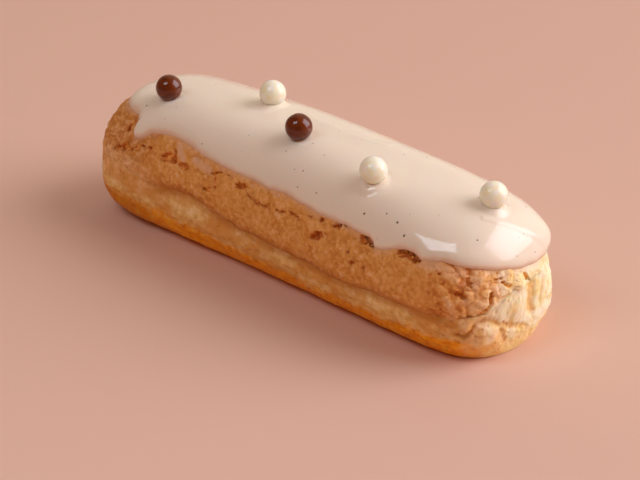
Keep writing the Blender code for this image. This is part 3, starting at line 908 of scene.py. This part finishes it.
# Pits and cracks: a deeper orange brown, partly caramelised sugar and partly painted shade in the hollows.
hollow = node(material, "ShaderNodeMapRange", {"Value": cavity, 1: 0.05, 2: 0.6, 3: 0.0, 4: 0.9})[0]
caramel_and_hollow_shade = node(material, "ShaderNodeValToRGB", {"Fac": grain}, stops=[
    (0.38, colour("B45A10")), (0.52, colour("D07418")), (0.66, colour("F0A440"))])["Color"]
caramel_and_hollow_shade = node(material, "ShaderNodeMix", {0: pale, 6: caramel_and_hollow_shade, 7: colour("F2B440")}, data_type="RGBA")[2]
tan = node(material, "ShaderNodeMix", {0: hollow, 6: tan, 7: caramel_and_hollow_shade}, data_type="RGBA")[2]
# Painted highlight: the tops of the burst lumps are lighter.
proud = node(material, "ShaderNodeMapRange", {"Value": cavity, 1: 0.0, 2: -0.6, 3: 0.0, 4: 0.5})[0]
lump_top_highlight = node(material, "ShaderNodeMix", {0: pale, 6: colour("F2CCA2"), 7: colour("FFF1CE")}, data_type="RGBA")[2]
tan = node(material, "ShaderNodeMix", {0: proud, 6: tan, 7: lump_top_highlight}, data_type="RGBA")[2]
wet = node(material, "ShaderNodeMath", {0: film, 1: 0.75}, operation="MULTIPLY")[0]
tan = node(material, "ShaderNodeMix", {0: wet, 6: tan, 7: colour("E8B890")}, data_type="RGBA")[2]
rough = node(material, "ShaderNodeMapRange", {"Value": film, 1: 0.0, 2: 1.0, 3: 0.62, 4: 0.30})[0]
fine = node(material, "ShaderNodeTexNoise", {"Vector": place, "Scale": 1 / (0.45 * MM), "Detail": 2.0})["Fac"]
bump = node(material, "ShaderNodeBump", {"Height": fine, "Strength": 0.7, "Distance": 0.15 * MM})[0]
depth = node(material, "ShaderNodeMapRange", {"Value": pale, 1: 0.0, 2: 1.0, 3: 0.12, 4: 0.6})[0]
shader = node(material, "ShaderNodeBsdfPrincipled", {
    "Base Color": tan, "Roughness": rough, "Normal": bump, "IOR": 1.45, "Subsurface Weight": depth,
    "Subsurface Radius": (1.2, 0.7, 0.3), "Subsurface Scale": 1.2 * MM})[0]
finish_with(material, shader, [crust])

# %% [markdown]
# ### Baked choux skin
#
# The bare choux is drier and smoother than the craquelin. It is pale biscuit where the crust shaded it,
# and fried golden to brown where it stood on the buttered tray. The golden base also holds painted
# orange bounce light and is lighter at the pale right end as painted light; painted shade darkens it
# under the crust's lip, over the left end's golden base, and in its folds and pores.

# %% Baked choux skin
material, place = fresh("baked_choux")
cavity = node(material, "ShaderNodeAttribute", {}, attribute_name="cavity")["Fac"]
golden_bake_and_bounce = node(material, "ShaderNodeAttribute", {}, attribute_name="golden_bake_and_bounce")["Fac"]
shade = node(material, "ShaderNodeAttribute", {}, attribute_name="shade")["Fac"]
pale = node(material, "ShaderNodeAttribute", {}, attribute_name="pale")["Fac"]
mottle = node(material, "ShaderNodeTexNoise", {"Vector": place, "Scale": 1 / (2.2 * MM), "Detail": 5.0,
                                               "Roughness": 0.6})["Fac"]
biscuit = node(material, "ShaderNodeValToRGB", {"Fac": mottle}, stops=[
    (0.30, colour("DCA652")), (0.52, colour("F2C67A")), (0.72, colour("FFE2AC"))])["Color"]
patch = node(material, "ShaderNodeAttribute", {}, attribute_name="patch")["Fac"]
deeper = node(material, "ShaderNodeMapRange", {"Value": patch, 1: 0.0, 2: 1.0, 3: 0.75, 4: 0.0})[0]
biscuit = node(material, "ShaderNodeMix", {0: deeper, 6: biscuit, 7: colour("DE9640")}, data_type="RGBA")[2]
tan = node(material, "ShaderNodeAttribute", {}, attribute_name="tan")["Fac"]
toasted = node(material, "ShaderNodeValToRGB", {"Fac": mottle}, stops=[
    (0.32, colour("D48E40")), (0.50, colour("E8AC64")), (0.68, colour("F6C88E"))])["Color"]
biscuit = node(material, "ShaderNodeMix", {0: tan, 6: biscuit, 7: toasted}, data_type="RGBA")[2]
biscuit = node(material, "ShaderNodeMix", {0: pale, 6: biscuit, 7: cream(material, place)}, data_type="RGBA")[2]
# The golden base: partly its fried colour and partly painted orange bounce light from below; at the pale right end it
# turns lighter as painted light.
golden = node(material, "ShaderNodeValToRGB", {"Fac": mottle}, stops=[
    (0.30, colour("E08608")), (0.50, colour("FFA60A")), (0.72, colour("FFC63A"))])["Color"]
golden = node(material, "ShaderNodeMix", {0: pale, 6: golden, 7: colour("FFDE9C")}, data_type="RGBA")[2]
skin_colour = node(material, "ShaderNodeMix", {0: golden_bake_and_bounce, 6: biscuit, 7: golden}, data_type="RGBA")[2]
# Folds and pores are painted a deeper orange, as painted shade in the hollows.
hollow = node(material, "ShaderNodeMapRange", {"Value": cavity, 1: 0.05, 2: 0.7, 3: 0.0, 4: 0.75})[0]
valley = node(material, "ShaderNodeMix", {0: pale, 6: colour("BE7820"), 7: colour("F2BC58")}, data_type="RGBA")[2]
skin_colour = node(material, "ShaderNodeMix", {0: hollow, 6: skin_colour, 7: valley}, data_type="RGBA")[2]
# Painted shade under the crust's lip and over the left end's golden base.
skin_colour = node(material, "ShaderNodeMix", {0: shade, 6: skin_colour, 7: colour("B0641A")}, data_type="RGBA")[2]
fine = node(material, "ShaderNodeTexNoise", {"Vector": place, "Scale": 1 / (0.5 * MM), "Detail": 2.0})["Fac"]
bump = node(material, "ShaderNodeBump", {"Height": fine, "Strength": 0.4, "Distance": 0.08 * MM})[0]
depth = node(material, "ShaderNodeMapRange", {"Value": pale, 1: 0.0, 2: 1.0, 3: 0.2, 4: 0.6})[0]
shader = node(material, "ShaderNodeBsdfPrincipled", {
    "Base Color": skin_colour, "Roughness": 0.5, "Specular IOR Level": 0.22,
    "Normal": bump, "IOR": 1.45,
    "Subsurface Weight": depth, "Subsurface Radius": (1.5, 0.8, 0.4), "Subsurface Scale": 1.2 * MM})[0]
finish_with(material, shader, [choux])

# %% [markdown]
# ### White chocolate and vanilla glaze
#
# Cocoa butter, cream and sugar set to a glossy ivory skin that lets a little light through. The finest
# vanilla shows as soft grey-brown dots under the surface, about a fifth of a millimetre across.

# %% White chocolate and vanilla glaze
material, place = fresh("white_chocolate_glaze")
dots = node(material, "ShaderNodeTexVoronoi", {"Vector": place, "Scale": 1 / (4.0 * MM)})
near = node(material, "ShaderNodeMapRange", {"Value": dots["Distance"], 1: 0.022, 2: 0.055, 3: 0.45, 4: 0.0})[0]
ivory = node(material, "ShaderNodeMix", {0: near, 6: colour("F4E8D2"), 7: colour("8A6A50")}, data_type="RGBA")[2]
thin = node(material, "ShaderNodeAttribute", {}, attribute_name="thin")["Fac"]
sheer = node(material, "ShaderNodeMath", {0: thin, 1: 0.65}, operation="MULTIPLY")[0]
ivory = node(material, "ShaderNodeMix", {0: sheer, 6: ivory, 7: colour("E4B08A")}, data_type="RGBA")[2]
shader = node(material, "ShaderNodeBsdfPrincipled", {
    "Base Color": ivory, "Roughness": 0.10, "IOR": 1.46, "Specular IOR Level": 0.5, "Subsurface Weight": 0.35,
    "Subsurface Radius": (1.6, 1.1, 0.7), "Subsurface Scale": 1.5 * MM, "Coat Weight": 0.3,
    "Coat Roughness": 0.05})[0]
finish_with(material, shader, [glaze])

# %% [markdown]
# ### Polished chocolate
#
# Tumbled chocolate under a coat of shellac: the chocolate itself is satin, and the coat gives the sharp
# reflections. White chocolate lets light in a little way, dark chocolate hardly at all.

# %% Polished chocolate
for family, deep_shade, pale_shade, satin, depth in (
        ("dark", "5C2002", "702F0A", 0.0, 0.0), ("white", "FFF3D2", "FFFBE8", 0.2, 0.6)):
    material, place = fresh("polished_" + family + "_chocolate")
    clouds = node(material, "ShaderNodeTexNoise", {"Vector": place, "Scale": 1 / (1.6 * MM), "Detail": 3.0})["Fac"]
    shade = node(material, "ShaderNodeValToRGB", {"Fac": clouds}, stops=[
        (0.38, colour(deep_shade)), (0.62, colour(pale_shade))])["Color"]
    bump = node(material, "ShaderNodeBump", {"Height": clouds, "Strength": 0.5, "Distance": 0.04 * MM})[0]
    shader = node(material, "ShaderNodeBsdfPrincipled", {
        "Base Color": shade, "Roughness": 0.32, "IOR": 1.46, "Specular IOR Level": satin, "Normal": bump,
        "Coat Weight": 1.0, "Coat Roughness": 0.05, "Coat IOR": 1.5, "Coat Normal": bump,
        "Subsurface Weight": depth, "Subsurface Radius": (2.6, 1.8, 1.0), "Subsurface Scale": 2.0 * MM})[0]
    finish_with(material, shader, [pearl for name, pearl in pearls.items() if name.startswith(family)])

# %% Drops of thin glaze
material, place = fresh("thin_glaze_drops")
clouds = node(material, "ShaderNodeTexNoise", {"Vector": place, "Scale": 1 / (0.9 * MM), "Detail": 2.0})["Fac"]
milky = node(material, "ShaderNodeValToRGB", {"Fac": clouds}, stops=[
    (0.38, colour("E2B48A")), (0.62, colour("F4D6B8"))])["Color"]
shader = node(material, "ShaderNodeBsdfPrincipled", {
    "Base Color": milky, "Roughness": 0.25, "IOR": 1.46, "Subsurface Weight": 0.3,
    "Subsurface Radius": (1.6, 1.1, 0.7), "Subsurface Scale": 0.5 * MM})[0]
finish_with(material, shader, [beads])

# %% Ground vanilla
material, place = fresh("ground_vanilla_seed")
clouds = node(material, "ShaderNodeTexNoise", {"Vector": place, "Scale": 1 / (0.5 * MM), "Detail": 2.0})["Fac"]
seed = node(material, "ShaderNodeValToRGB", {"Fac": clouds}, stops=[
    (0.38, colour("4A3626")), (0.62, colour("786250"))])["Color"]
shader = node(material, "ShaderNodeBsdfPrincipled", {
    "Base Color": seed, "Roughness": 0.5, "IOR": 1.45})[0]
finish_with(material, shader, [specks])

# %% [markdown]
# ## Floor, light and camera
#
# A large plain floor, one big warm softbox behind and to the right, a small soft lamp high in front for
# the second glint, and a warm room all round. The camera looks down from the front right with a long lens.


# %% Floor
def stage_floor(side, shade):
    """A square floor at height zero, with a matt paint of one colour."""
    mesh = bpy.data.meshes.new("floor")
    mesh.from_pydata([(-side, -side, 0), (side, -side, 0), (side, side, 0), (-side, side, 0)], [], [(0, 1, 2, 3)])
    floor = bpy.data.objects.new("floor", mesh)
    bpy.context.scene.collection.objects.link(floor)
    material, _ = fresh("matt_warm_paint")
    shader = node(material, "ShaderNodeBsdfPrincipled", {"Base Color": colour(shade), "Roughness": 0.8})[0]
    finish_with(material, shader, [floor])


stage_floor(3.0, "DDB8A2")


# %% Lights
def softbox(name, towards, distance, size, roll, watts, shade):
    """An area lamp of some width and height, in a direction from the eclair's middle, facing it, rolled."""
    lamp = bpy.data.lights.new(name, "AREA")
    lamp.shape = "RECTANGLE"
    lamp.size, lamp.size_y = size
    lamp.energy = watts
    lamp.color = colour(shade)[:3]
    held = bpy.data.objects.new(name, lamp)
    aim = Vector(towards).normalized()
    held.location = Vector((0, 0, 0.02)) + aim * distance
    held.rotation_euler = (aim.to_track_quat("Z", "Y") @ Quaternion((0, 0, 1), math.radians(roll))).to_euler()
    bpy.context.scene.collection.objects.link(held)


softbox("key_softbox", (0.62, 0.56, 0.53), 1.5, (1.35, 1.45), 0, 18.2, "F7F2FF")
softbox("key_core", (0.62, 0.56, 0.53), 1.45, (0.80, 0.95), 10, 3.4, "F7F2FF")
softbox("front_lamp", (-0.10, -0.56, 0.79), 0.9, (0.50, 0.28), 40, 2.1, "E2F0FF")

# The room: brown all round, and a pale wall behind the eclair that gets brighter straight behind.
world = bpy.data.worlds.new("warm_room")
world.use_nodes = True
backing = world.node_tree.nodes["Background"]
backing.inputs["Strength"].default_value = 1.0
way = node(world, "ShaderNodeTexCoord", {})["Generated"]
behind = node(world, "ShaderNodeSeparateXYZ", {0: way})["Y"]
room = node(world, "ShaderNodeValToRGB", {"Fac": behind}, stops=[
    (0.0, colour("8D6550")), (1.0, colour("E8D8C1"))])["Color"]
world.node_tree.links.new(room, backing.inputs["Color"])
bpy.context.scene.world = world
bpy.context.scene.view_settings.view_transform = "Standard"

# %% Camera
camera_data = bpy.data.cameras.new("camera")
camera_data.lens = 134.1
camera_data.sensor_width = 36.0
camera_data.clip_start = 0.01
camera = bpy.data.objects.new("camera", camera_data)
camera.location = Vector((354.83, -384.03, 284.52)) * MM
aim = Vector((-7.60, 8.22, 0)) * MM - camera.location
camera.rotation_euler = aim.to_track_quat("-Z", "Y").to_euler()
bpy.context.scene.collection.objects.link(camera)
bpy.context.scene.camera = camera
